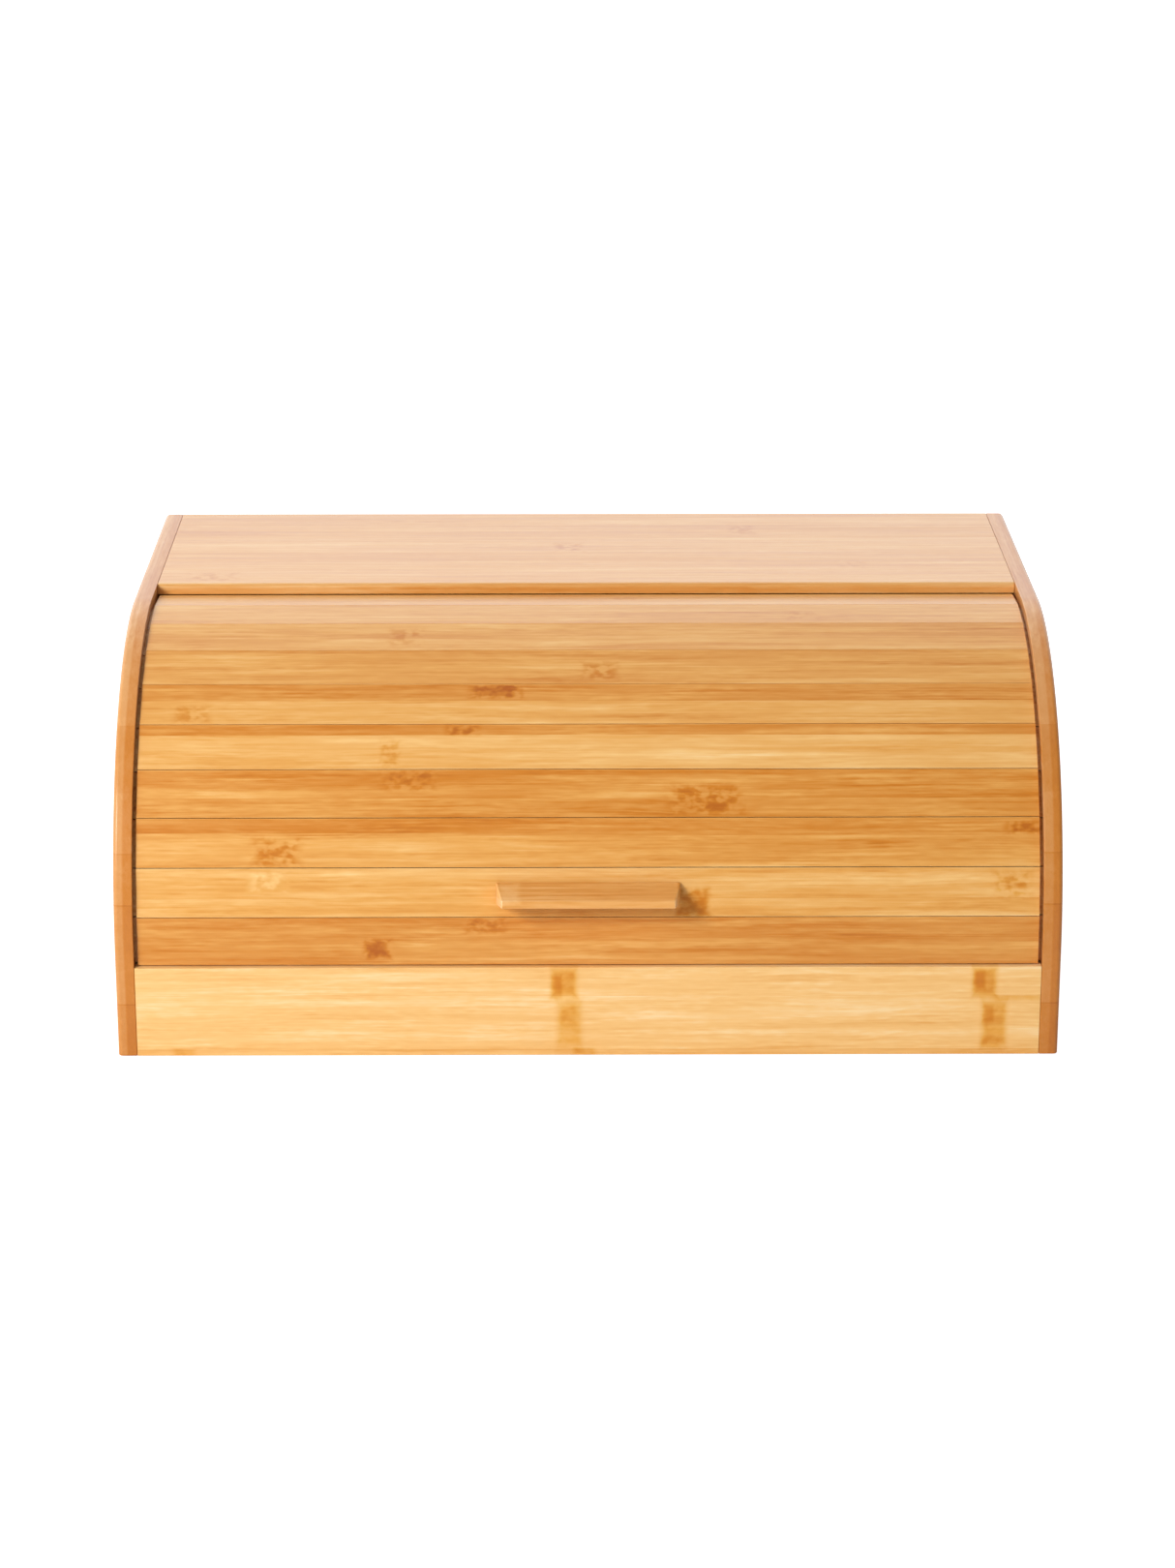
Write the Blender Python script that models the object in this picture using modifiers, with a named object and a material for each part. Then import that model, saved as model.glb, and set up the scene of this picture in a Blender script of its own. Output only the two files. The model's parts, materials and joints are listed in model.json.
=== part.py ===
"""Bread box with a roll-top door.

The cabinet is six bamboo boards joined by hidden dowels. The door is a tambour: bamboo slats glued
to a canvas, with tongues on their ends that run in a round groove in each side panel. The groove
is centred on the bend of the side panels, so the whole door turns about that line, from the front
up under the top board and down inside the back.

Frame: metres, +X to the right, -Y to the front, +Z up. The origin is on the surface that the box
stands on, in the middle of its length, and in the middle of its depth with the handle.
Angles about the roll axis open from the front, upwards.
"""

import math

import bmesh
import bpy
from mathutils import Matrix

# Overall size of the cabinet
WIDTH = 0.400
DEPTH = 0.270
HEIGHT = 0.168
BEND_RADIUS = 0.122
BOARD = 0.008
TOUCH = 0.0003

# Fixed boards between the side panels
TOP_DEPTH = 0.1252
RAIL_THICK = 0.010
RAIL_HEIGHT = 0.0398
EDGE_EASE = 0.0004
SIDE_EASE = 0.0005
SIDE_ROUND = 0.002

# Door: outer corners of the slats lie on the track radius
TRACK_RADIUS = 0.1195
SLATS = 11
SLAT_PITCH = 0.0211
SLAT_GAP = 0.0003
SLAT_THICK = 0.006
SLAT_TAPER = 0.0005
SLAT_EASE = 0.00025
SHOULDER = 0.1905
RAIL_CLEARANCE = 0.0004
TRAVEL = math.radians(85.0)

# Tongues behind a rabbet on the slats' ends, and the grooves they run in
RABBET_DEPTH = 0.0027
TONGUE_INSET = 0.0003
TONGUE_LENGTH = 0.0058
GROOVE_DEPTH = 0.005
GROOVE_CLEARANCE = 0.00035
GROOVE_END_CLEARANCE = math.radians(0.8)
TOP_CLEARANCE = 0.00025

# Canvas glued behind the slats
CANVAS_THICK = 0.0006
CANVAS_HALF_WIDTH = 0.180
CANVAS_TRIM = 0.0012

# Handle: a wedge that thins and narrows from its root on the slat to a lip in front
HANDLE_SLAT = 2
HANDLE_LENGTH = 0.078
HANDLE_TIP_LENGTH = 0.073
HANDLE_PROUD = 0.015
HANDLE_LOW = -0.0050
HANDLE_HIGH = 0.0044
HANDLE_LIP = 0.0033
HANDLE_EASE = 0.0006

# Screws that hold the handle, driven from inside the door
SCREW_X = 0.026
SCREW_DROP = -0.0018
SCREW_HEAD_RADIUS = 0.0032
SCREW_HEAD_HEIGHT = 0.0021
SCREW_SHANK_RADIUS = 0.0016
SCREW_TIP_LENGTH = 0.0025
SCREW_BITE = 0.0072
SLOT_LENGTH = 0.0036
SLOT_WIDTH = 0.0008
SLOT_DEPTH = 0.0012

# Dowels between the side panels and the other boards
DOWEL_RADIUS = 0.002
DOWEL_IN_SIDE = 0.0047
DOWEL_LENGTH = 0.020
DOWEL_EASE = 0.0005
HOLE_OVERRUN = 0.0003

# Derived: the roll axis, and the slats around it
BEHIND_AXIS = DEPTH - BEND_RADIUS
AXIS_HEIGHT = HEIGHT - BEND_RADIUS
INNER_X = WIDTH / 2 - BOARD
PITCH = 2 * math.asin(SLAT_PITCH / 2 / TRACK_RADIUS)
DOOR_START = math.asin((RAIL_HEIGHT + RAIL_CLEARANCE - AXIS_HEIGHT) / TRACK_RADIUS)
SLAT_FACE = TRACK_RADIUS * math.cos(PITCH / 2)
SLAT_BACK = SLAT_FACE - SLAT_THICK
SLAT_WIDTH = SLAT_PITCH - SLAT_GAP
TONGUE_FACE = SLAT_FACE - RABBET_DEPTH
TONGUE_BACK = SLAT_BACK + TONGUE_INSET
TONGUE_HALF_WIDTH = SLAT_WIDTH / 2 - TONGUE_INSET
CANVAS_FACE = SLAT_BACK - TOUCH
CANVAS_BACK = CANVAS_FACE - CANVAS_THICK
HANDLE_ANGLE = DOOR_START + (HANDLE_SLAT - 0.5) * PITCH
HANDLE_ROOT = SLAT_FACE + TOUCH
HANDLE_TIP = HANDLE_ROOT + HANDLE_PROUD
FRONT_REACH = HANDLE_TIP * math.cos(HANDLE_ANGLE) - (HANDLE_LOW + HANDLE_EASE) * math.sin(HANDLE_ANGLE)
AXIS_Y = (FRONT_REACH - BEHIND_AXIS) / 2
ROLL_AXIS = (0.0, AXIS_Y, AXIS_HEIGHT)

# Colours (linear), roughness, metallic
FINISHES = {
    "bamboo_side": ((0.62, 0.33, 0.12), 0.45, 0.0),
    "bamboo_top": ((0.74, 0.47, 0.24), 0.40, 0.0),
    "bamboo_rail": ((0.86, 0.52, 0.19), 0.42, 0.0),
    "bamboo_slat": ((0.78, 0.42, 0.13), 0.42, 0.0),
    "bamboo_handle": ((0.70, 0.37, 0.13), 0.40, 0.0),
    "bamboo_inner": ((0.72, 0.44, 0.18), 0.55, 0.0),
    "canvas": ((0.55, 0.47, 0.35), 0.90, 0.0),
    "steel_screw": ((0.58, 0.57, 0.54), 0.30, 1.0),
    "dowel_wood": ((0.72, 0.52, 0.32), 0.60, 0.0),
}

SIDES = {"left": -1, "right": 1}


def new_collection(name):
    group = bpy.data.collections.new(name)
    bpy.context.scene.collection.children.link(group)
    return group


def make_materials():
    for name, (colour, roughness, metallic) in FINISHES.items():
        material = bpy.data.materials.new(name)
        material.use_nodes = True
        shader = material.node_tree.nodes["Principled BSDF"]
        shader.inputs["Base Color"].default_value = (*colour, 1.0)
        shader.inputs["Roughness"].default_value = roughness
        shader.inputs["Metallic"].default_value = metallic


def place(name, mesh, finish=None, parent=None, at=(0.0, 0.0, 0.0), turn=0.0):
    """A named object for this mesh, turned about X; without a finish it is a cutter."""
    piece = bpy.data.objects.new(name, mesh)
    piece.location = at
    piece.rotation_euler.x = turn
    piece.parent = parent
    if finish is None:
        piece.hide_render = True
        piece.display_type = "WIRE"
        bpy.data.collections["cutters"].objects.link(piece)
        return piece
    if not mesh.materials:
        mesh.materials.append(bpy.data.materials[finish])
    bpy.data.collections["bread_box"].objects.link(piece)
    return piece


def ease(piece, width, segments=2):
    """Round the sharp edges of a piece."""
    bevel = piece.modifiers.new("eased_edges", "BEVEL")
    bevel.width = width
    bevel.segments = segments
    bevel.limit_method = "ANGLE"
    bevel.angle_limit = math.radians(40)


def round_over(piece, width, edges):
    """Round these edges of a piece with a larger radius than the rest."""
    marks = piece.data.attributes.new("bevel_weight_edge", "FLOAT", "EDGE")
    for edge in edges:
        marks.data[edge.index].value = 1.0
    bevel = piece.modifiers.new("rounded_over", "BEVEL")
    bevel.width = width
    bevel.segments = 5
    bevel.limit_method = "WEIGHT"


def cut(piece, cutter):
    boolean = piece.modifiers.new("cut_" + cutter.name, "BOOLEAN")
    boolean.operation = "DIFFERENCE"
    boolean.solver = "EXACT"
    boolean.object = cutter


def box_mesh(name, low, high):
    """A box between two corners."""
    mesh = bpy.data.meshes.new(name)
    shape = bmesh.new()
    bmesh.ops.create_cube(shape, size=1.0)
    bmesh.ops.scale(shape, vec=[b - a for a, b in zip(low, high)], verts=shape.verts)
    bmesh.ops.translate(shape, vec=[(a + b) / 2 for a, b in zip(low, high)], verts=shape.verts)
    shape.to_mesh(mesh)
    shape.free()
    return mesh


def rod_mesh(name, radius, start, end, sides):
    """A round bar along X."""
    mesh = bpy.data.meshes.new(name)
    shape = bmesh.new()
    lie_along_x = Matrix.Rotation(math.pi / 2, 4, "Y")
    middle = Matrix.Translation(((start + end) / 2, 0.0, 0.0))
    bmesh.ops.create_cone(shape, cap_ends=True, segments=sides, radius1=radius, radius2=radius,
                          depth=end - start, matrix=middle @ lie_along_x)
    shape.to_mesh(mesh)
    shape.free()
    return mesh


def baked_mesh(name, source):
    """The shape of an object with its modifiers, as a closed mesh; the object is removed."""
    bpy.context.view_layer.update()
    mesh = bpy.data.meshes.new_from_object(source.evaluated_get(bpy.context.evaluated_depsgraph_get()))
    mesh.name = name
    mesh.transform(source.matrix_world)
    bpy.data.objects.remove(source)
    shape = bmesh.new()
    shape.from_mesh(mesh)
    bmesh.ops.remove_doubles(shape, verts=shape.verts, dist=0.00001)
    bmesh.ops.recalc_face_normals(shape, faces=shape.faces)
    shape.to_mesh(mesh)
    shape.free()
    return mesh


def plate_mesh(name, outline, x_low, x_high):
    """A flat piece that lies across X, from its outline in Y and Z."""
    curve = bpy.data.curves.new(name, "CURVE")
    curve.dimensions = "2D"
    curve.fill_mode = "BOTH"
    curve.extrude = (x_high - x_low) / 2
    spline = curve.splines.new("POLY")
    spline.points.add(len(outline) - 1)
    for point, (y, z) in zip(spline.points, outline):
        point.co = (y, z, 0.0, 1.0)
    spline.use_cyclic_u = True
    source = bpy.data.objects.new(name, curve)
    stand_across_x = Matrix(((0, 0, 1, 0), (1, 0, 0, 0), (0, 1, 0, 0), (0, 0, 0, 1)))
    source.matrix_world = Matrix.Translation(((x_low + x_high) / 2, 0.0, 0.0)) @ stand_across_x
    bpy.context.scene.collection.objects.link(source)
    return baked_mesh(name, source)


def polar(radius, angle):
    """Y and Z of a point around the roll axis."""
    return (-radius * math.cos(angle), radius * math.sin(angle))


def arc(radius, start, end, step=math.radians(3)):
    count = max(2, math.ceil(abs(end - start) / step))
    return [polar(radius, start + (end - start) * i / count) for i in range(count + 1)]


def groove_outline():
    """The path that the tongues sweep, from the closed door's foot to the open door's tail."""
    inner = TONGUE_BACK - GROOVE_CLEARANCE
    outer = math.hypot(TONGUE_FACE, TONGUE_HALF_WIDTH) + GROOVE_CLEARANCE
    tongue_half_angle = math.atan(TONGUE_HALF_WIDTH / TONGUE_BACK)
    start = DOOR_START + PITCH / 2 - tongue_half_angle - GROOVE_END_CLEARANCE
    end = DOOR_START + (SLATS - 0.5) * PITCH + tongue_half_angle + TRAVEL + GROOVE_END_CLEARANCE
    return arc(outer, start, end) + arc(inner, end, start)


def outer_edges(mesh):
    """The edges around a side panel's outer face, without the one that it stands on."""
    reach = max(abs(vert.co.x) for vert in mesh.vertices)
    foot = min(vert.co.z for vert in mesh.vertices)
    chosen = []
    for edge in mesh.edges:
        ends = [mesh.vertices[index].co for index in edge.vertices]
        on_outside = all(math.isclose(abs(end.x), reach, abs_tol=TOUCH) for end in ends)
        on_foot = all(math.isclose(end.z, foot, abs_tol=TOUCH) for end in ends)
        if on_outside and not on_foot:
            chosen.append(edge)
    return chosen


def make_side_panels():
    """Boards with a quarter-round front corner and a rounded outer edge, grooved on their inner faces."""
    outline = [(BEHIND_AXIS, -AXIS_HEIGHT), (BEHIND_AXIS, BEND_RADIUS)]
    outline += arc(BEND_RADIUS, math.pi / 2, 0.0)
    outline += [(-BEND_RADIUS, -AXIS_HEIGHT)]
    panels = {}
    for side, sign in SIDES.items():
        low, high = sorted((sign * INNER_X, sign * WIDTH / 2))
        mesh = plate_mesh("side_panel_" + side, outline, low, high)
        panels[side] = place("side_panel_" + side, mesh, "bamboo_side", at=ROLL_AXIS)
        round_over(panels[side], SIDE_ROUND, outer_edges(mesh))
        ease(panels[side], SIDE_EASE)
        low, high = sorted((sign * (INNER_X - GROOVE_DEPTH), sign * (INNER_X + GROOVE_DEPTH)))
        groove = plate_mesh("groove_" + side, groove_outline(), low, high)
        cut(panels[side], place("groove_" + side, groove, at=ROLL_AXIS))
    return panels


def make_board(name, finish, y_low, y_high, z_low, z_high):
    """A straight board that fits between the side panels."""
    reach = INNER_X - TOUCH
    mesh = box_mesh(name, (-reach, y_low, z_low), (reach, y_high, z_high))
    board = place(name, mesh, finish)
    ease(board, EDGE_EASE)
    return board


def make_boards():
    back = AXIS_Y + BEHIND_AXIS
    front = AXIS_Y - BEND_RADIUS
    behind_rail = front + RAIL_THICK
    boards = {
        "top": make_board("top_panel", "bamboo_top", back - TOP_DEPTH, back, HEIGHT - BOARD, HEIGHT),
        "back": make_board("back_panel", "bamboo_inner", back - BOARD, back, 0.0, HEIGHT - BOARD - TOUCH),
        "bottom": make_board("bottom_panel", "bamboo_inner", behind_rail + TOUCH, back - BOARD - TOUCH,
                             0.0, BOARD),
        "rail": make_board("front_rail", "bamboo_rail", front, behind_rail, 0.0, RAIL_HEIGHT),
    }
    cove = rod_mesh("door_cove", TRACK_RADIUS + TOP_CLEARANCE, -WIDTH / 2, WIDTH / 2, 120)
    cut(boards["top"], place("door_cove", cove, at=ROLL_AXIS))
    return boards


def dowel_places():
    """Board, place and height of each dowel in the end of a board."""
    back = AXIS_Y + BEHIND_AXIS
    rail_middle = AXIS_Y - BEND_RADIUS + RAIL_THICK / 2
    return [
        ("top", "rear", back - 0.030, HEIGHT - BOARD / 2),
        ("top", "front", back - 0.095, HEIGHT - BOARD / 2),
        ("back", "upper", back - BOARD / 2, 0.125),
        ("back", "lower", back - BOARD / 2, 0.040),
        ("bottom", "rear", back - 0.060, BOARD / 2),
        ("bottom", "front", back - 0.200, BOARD / 2),
        ("rail", "upper", rail_middle, 0.029),
        ("rail", "lower", rail_middle, 0.011),
    ]


def make_dowels(panels, boards):
    """Dowels in blind holes, half hidden in a side panel and half in a board's end."""
    for side, sign in SIDES.items():
        tip = sign * (INNER_X + DOWEL_IN_SIDE)
        root = tip - sign * DOWEL_LENGTH
        overrun = sign * HOLE_OVERRUN
        dowel = rod_mesh("dowel_" + side, DOWEL_RADIUS, *sorted((root, tip)), 16)
        hole = rod_mesh("dowel_hole_" + side, DOWEL_RADIUS + TOUCH,
                        *sorted((root - overrun, tip + overrun)), 16)
        for board, where, y, z in dowel_places():
            label = f"{board}_{where}_{side}"
            ease(place("dowel_" + label, dowel, "dowel_wood", at=(0.0, y, z)), DOWEL_EASE, 1)
            cutter = place("hole_" + label, hole, at=(0.0, y, z))
            cut(panels[side], cutter)
            cut(boards[board], cutter)


def slat_mesh():
    """A slat at the front, upright, narrower behind, with a tongue behind a rabbet on each end."""
    mesh = box_mesh("slat", (-SHOULDER, -SLAT_FACE, -SLAT_WIDTH / 2), (SHOULDER, -SLAT_BACK, SLAT_WIDTH / 2))
    shape = bmesh.new()
    shape.from_mesh(mesh)
    back_verts = [vert for vert in shape.verts if vert.co.y > -SLAT_FACE + SLAT_THICK / 2]
    bmesh.ops.scale(shape, vec=(1.0, 1.0, 1.0 - 2 * SLAT_TAPER / SLAT_WIDTH), verts=back_verts)
    ends = [face for face in shape.faces if abs(face.normal.x) > 0.9]
    bmesh.ops.inset_individual(shape, faces=ends, thickness=TONGUE_INSET, use_even_offset=True)
    for vert in {vert for face in ends for vert in face.verts}:
        vert.co.y = max(vert.co.y, -TONGUE_FACE)
    bmesh.ops.inset_individual(shape, faces=ends, thickness=0.0, depth=TONGUE_LENGTH)
    shape.to_mesh(mesh)
    shape.free()
    return mesh


def handle_mesh():
    """A wedge with a thick root behind and a low, slightly shorter lip in front."""
    half = HANDLE_LENGTH / 2
    mesh = box_mesh("handle", (-half, -HANDLE_TIP, HANDLE_LOW), (half, -HANDLE_ROOT, HANDLE_HIGH))
    for vert in mesh.vertices:
        if vert.co.y < -HANDLE_ROOT - HANDLE_PROUD / 2:
            vert.co.x *= HANDLE_TIP_LENGTH / HANDLE_LENGTH
            vert.co.z = min(vert.co.z, HANDLE_LOW + HANDLE_LIP)
    return mesh


def canvas_mesh():
    """A sheet with one flat behind each slat."""
    trim = CANVAS_TRIM / CANVAS_FACE
    ends = (DOOR_START + trim, DOOR_START + SLATS * PITCH - trim)

    def line(flat):
        folds = [polar(flat / math.cos(PITCH / 2), DOOR_START + i * PITCH) for i in range(1, SLATS)]
        first, last = [polar(flat / math.cos(PITCH / 2 - trim), angle) for angle in ends]
        return [first, *folds, last]

    outline = line(CANVAS_FACE) + line(CANVAS_BACK)[::-1]
    return plate_mesh("canvas_backing", outline, -CANVAS_HALF_WIDTH, CANVAS_HALF_WIDTH)


def screw_mesh():
    """A pan-head screw, head up, with the underside of its head at the origin."""
    length = 3 * TOUCH + CANVAS_THICK + SLAT_THICK + SCREW_BITE
    corner = SCREW_HEAD_HEIGHT * 0.45
    profile = [
        (0.0, SCREW_HEAD_HEIGHT),
        (SCREW_HEAD_RADIUS * 0.70, SCREW_HEAD_HEIGHT * 0.92),
        (SCREW_HEAD_RADIUS, corner),
        (SCREW_HEAD_RADIUS, 0.0),
        (SCREW_SHANK_RADIUS, 0.0),
        (SCREW_SHANK_RADIUS, SCREW_TIP_LENGTH - length),
        (0.0, -length),
    ]
    mesh = bpy.data.meshes.new("screw_profile")
    mesh.from_pydata([(x, 0.0, z) for x, z in profile], [(i, i + 1) for i in range(len(profile) - 1)], [])
    turned = place("screw_blank", mesh, "steel_screw")
    spin = turned.modifiers.new("turned", "SCREW")
    spin.steps = spin.render_steps = 20
    spin.use_merge_vertices = True
    spin.merge_threshold = 0.00001
    spin.use_normal_calculate = True
    for index in range(2):
        half = [SLOT_WIDTH / 2, SLOT_WIDTH / 2]
        half[index] = SLOT_LENGTH / 2
        low = (-half[0], -half[1], SCREW_HEAD_HEIGHT - SLOT_DEPTH)
        high = (half[0], half[1], SCREW_HEAD_HEIGHT + SLOT_DEPTH)
        cut(turned, place(f"screw_slot_{index + 1}", box_mesh("screw_slot", low, high)))
    return baked_mesh("handle_screw", turned)


def make_handle_screws(axis, drilled):
    """Screws from behind the canvas, through the slat and into the handle."""
    mesh = screw_mesh()
    head_rest = CANVAS_BACK - TOUCH
    turn = -(math.pi / 2 + HANDLE_ANGLE)
    hole = rod_mesh("screw_hole", SCREW_SHANK_RADIUS + TOUCH, head_rest - BOARD,
                    HANDLE_ROOT + SCREW_BITE + TOUCH, 20)
    hole.transform(Matrix.Rotation(-math.pi / 2, 4, "Z"))
    head_y, head_z = polar(head_rest, HANDLE_ANGLE)
    drop_y = SCREW_DROP * math.sin(HANDLE_ANGLE)
    drop_z = SCREW_DROP * math.cos(HANDLE_ANGLE)
    for side, sign in SIDES.items():
        x = sign * SCREW_X
        place("handle_screw_" + side, mesh, "steel_screw", axis, (x, head_y + drop_y, head_z + drop_z), turn)
        cutter = place("screw_hole_" + side, hole, None, axis, (x, drop_y, drop_z), -HANDLE_ANGLE)
        for piece in drilled:
            cut(piece, cutter)


def make_door():
    """Slats, canvas, handle and screws, all turning about the roll axis."""
    axis = bpy.data.objects.new("roll_axis", None)
    axis.location = ROLL_AXIS
    bpy.data.collections["bread_box"].objects.link(axis)
    mesh = slat_mesh()
    slats = []
    for number in range(1, SLATS + 1):
        angle = DOOR_START + (number - 0.5) * PITCH
        slats.append(place(f"slat_{number:02d}", mesh, "bamboo_slat", axis, turn=-angle))
        ease(slats[-1], SLAT_EASE, 1)
    canvas = place("canvas_backing", canvas_mesh(), "canvas", axis)
    handle = place("handle", handle_mesh(), "bamboo_handle", axis, turn=-HANDLE_ANGLE)
    ease(handle, HANDLE_EASE, 3)
    make_handle_screws(axis, [slats[HANDLE_SLAT - 1], canvas, handle])


def shade_round(pieces):
    """Shade the round and eased surfaces smooth, and keep real corners sharp."""
    for mesh in {piece.data for piece in pieces if piece.type == "MESH"}:
        mesh.shade_smooth()
        mesh.set_sharp_from_angle(angle=math.radians(35))


def main():
    for existing in list(bpy.data.objects):
        bpy.data.objects.remove(existing)
    pieces = new_collection("bread_box")
    new_collection("cutters")
    make_materials()
    panels = make_side_panels()
    boards = make_boards()
    make_dowels(panels, boards)
    make_door()
    shade_round(pieces.objects)


main()
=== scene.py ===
"""The looks of the bread box with a roll-top door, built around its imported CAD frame.

Each board, slat, dowel and screw of the frame is shown by a finer mesh of the same size, and the
canvas by a sheet of cloth. The bamboo is laminated from strips with fibres, glue lines and knuckles.
Lengths are in metres, in the frame's axes: +X right, -Y front, +Z up. Lists of strips and knuckles
are in millimetres, because those are read off a piece of wood.
"""

import json
import math

import bmesh
import bpy
from mathutils import Matrix, Vector


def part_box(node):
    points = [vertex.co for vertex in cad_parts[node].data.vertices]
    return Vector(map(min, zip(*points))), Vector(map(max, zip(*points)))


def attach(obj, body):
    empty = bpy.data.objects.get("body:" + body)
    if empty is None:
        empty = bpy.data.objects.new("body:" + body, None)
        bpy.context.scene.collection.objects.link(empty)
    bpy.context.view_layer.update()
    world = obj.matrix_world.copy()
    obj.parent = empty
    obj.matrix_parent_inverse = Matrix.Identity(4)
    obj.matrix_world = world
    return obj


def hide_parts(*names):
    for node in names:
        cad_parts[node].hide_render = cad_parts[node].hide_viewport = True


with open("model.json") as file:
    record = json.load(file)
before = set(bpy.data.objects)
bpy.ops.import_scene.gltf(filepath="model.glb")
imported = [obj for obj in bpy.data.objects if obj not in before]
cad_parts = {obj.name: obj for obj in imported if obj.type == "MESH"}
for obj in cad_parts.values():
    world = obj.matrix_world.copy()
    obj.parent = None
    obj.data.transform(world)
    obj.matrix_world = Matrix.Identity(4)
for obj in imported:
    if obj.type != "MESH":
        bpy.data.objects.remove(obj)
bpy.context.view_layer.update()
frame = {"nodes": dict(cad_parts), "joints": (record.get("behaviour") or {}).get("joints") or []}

MM = 0.001

# Door: the sizes that the frame's boxes don't give
SLATS = 11
TRACK_RADIUS = 0.1195
SLAT_PITCH = 0.0211
SLAT_WIDTH = 0.0208
SLAT_THICK = 0.006
SLAT_TAPER = 0.0005
SHOULDER = 0.1905
RAIL_CLEARANCE = 0.0004
RABBET_DEPTH = 0.0027
TONGUE_INSET = 0.0003
TONGUE_LENGTH = 0.0058
TRAVEL = math.radians(frame["joints"][0]["range_deg"][1])

# The gap that touching pieces keep, and how far a board's end reaches into it so that no dark joint shows
TOUCH = 0.0003
SNUG = 0.00022

# Side panels, boards and their joints
BEND_RADIUS = 0.122
GROOVE_DEPTH = 0.005
GROOVE_CLEARANCE = 0.00035
GROOVE_END_CLEARANCE = math.radians(0.8)
COVE_RADIUS = 0.1196
HOLE_CLEARANCE = 0.0003
HOLE_SIDES = 24
DOWEL_CHAMFER = 0.0004
DOWEL_FLUTES = 12
FLUTE_DEPTH = 0.05

# Canvas
CANVAS_THICK = 0.0006
CANVAS_TRIM = 0.0012
CANVAS_COLUMNS = 90
CANVAS_ROWS_PER_SLAT = 8
CANVAS_RIPPLE = 0.00005
# The cloth is shown a little thinner than its solid, so that its ripple stays inside
CANVAS_SHOWN = CANVAS_THICK * 0.8

# Handle and its screws
HANDLE_SLAT = 2
HANDLE_LENGTH = 0.078
HANDLE_TIP_LENGTH = 0.073
HANDLE_PROUD = 0.015
HANDLE_LOW = -0.0050
HANDLE_HIGH = 0.0044
HANDLE_LIP = 0.0033
SCREW_X = 0.026
SCREW_DROP = -0.0018
SCREW_HEAD_RADIUS = 0.0032
SCREW_HEAD_HEIGHT = 0.0021
SCREW_RIM_SHARE = 0.45
SCREW_SIDES = 40
SCREW_SHANK_RADIUS = 0.0016
SCREW_ROOT_RADIUS = SCREW_SHANK_RADIUS * 0.72
SCREW_THREAD = 0.0011
SCREW_PLAIN_SHANK = 0.0015
SCREW_POINT = 0.0025
SCREW_BITE = 0.0072
CROSS_LENGTH = 0.0036
CROSS_WIDTH = 0.0008
CROSS_FLOOR = SCREW_HEAD_HEIGHT * 0.43

# How far edges are rounded
SLAT_EASE = 0.00025
BOARD_EASE = 0.0003
TOP_FRONT_ROUND = 0.0022
SIDE_EASE = 0.0003
SIDE_ROUND = 0.002
HANDLE_EASE = 0.0006
SHARP = math.radians(35)

# Derived: the roll axis, the slats around it, and the canvas behind them
AXIS = Vector(frame["joints"][0]["pos_m"])
PITCH = 2 * math.asin(SLAT_PITCH / 2 / TRACK_RADIUS)
DOOR_START = math.asin((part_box("front_rail")[1].z + RAIL_CLEARANCE - AXIS.z) / TRACK_RADIUS)
SLAT_FACE = TRACK_RADIUS * math.cos(PITCH / 2)
SLAT_BACK = SLAT_FACE - SLAT_THICK
TONGUE_FACE = SLAT_FACE - RABBET_DEPTH
TONGUE_BACK = SLAT_BACK + TONGUE_INSET
TONGUE_HALF_WIDTH = SLAT_WIDTH / 2 - TONGUE_INSET
CANVAS_FACE = SLAT_BACK - TOUCH
CANVAS_BACK = CANVAS_FACE - CANVAS_THICK
HANDLE_ROOT = SLAT_FACE + TOUCH
HANDLE_ANGLE = DOOR_START + (HANDLE_SLAT - 0.5) * PITCH


# Shapes

def block(low, high):
    """A box between two corners."""
    shape = bmesh.new()
    bmesh.ops.create_cube(shape, size=1.0)
    bmesh.ops.scale(shape, vec=[b - a for a, b in zip(low, high)], verts=shape.verts)
    bmesh.ops.translate(shape, vec=[(a + b) / 2 for a, b in zip(low, high)], verts=shape.verts)
    return shape


def rod(radius, start, end, sides, centre=(0.0, 0.0)):
    """A round bar along X, with its centre at a place in Y and Z."""
    shape = bmesh.new()
    place = Matrix.Translation(((start + end) / 2, *centre)) @ Matrix.Rotation(math.pi / 2, 4, "Y")
    bmesh.ops.create_cone(shape, cap_ends=True, segments=sides, radius1=radius, radius2=radius,
                          depth=abs(end - start), matrix=place)
    return shape


def extruded(outline, x_low, x_high):
    """A flat outline in Y and Z, made thick along X."""
    shape = bmesh.new()
    face = shape.faces.new([shape.verts.new((x_low, y, z)) for y, z in outline])
    swept = bmesh.ops.extrude_face_region(shape, geom=[face])["geom"]
    far_side = [vert for vert in swept if isinstance(vert, bmesh.types.BMVert)]
    bmesh.ops.translate(shape, vec=(x_high - x_low, 0.0, 0.0), verts=far_side)
    bmesh.ops.recalc_face_normals(shape, faces=shape.faces)
    return shape


def turned(profile, steps):
    """A closed profile of radius and height, turned about Z."""
    shape = bmesh.new()
    points = [shape.verts.new((radius, 0.0, height)) for radius, height in profile]
    edges = [shape.edges.new(pair) for pair in zip(points, points[1:])]
    bmesh.ops.spin(shape, geom=points + edges, cent=(0, 0, 0), axis=(0, 0, 1), angle=math.tau,
                   steps=steps, use_merge=True)
    bmesh.ops.remove_doubles(shape, verts=shape.verts, dist=1e-6)
    bmesh.ops.recalc_face_normals(shape, faces=shape.faces)
    return shape


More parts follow.
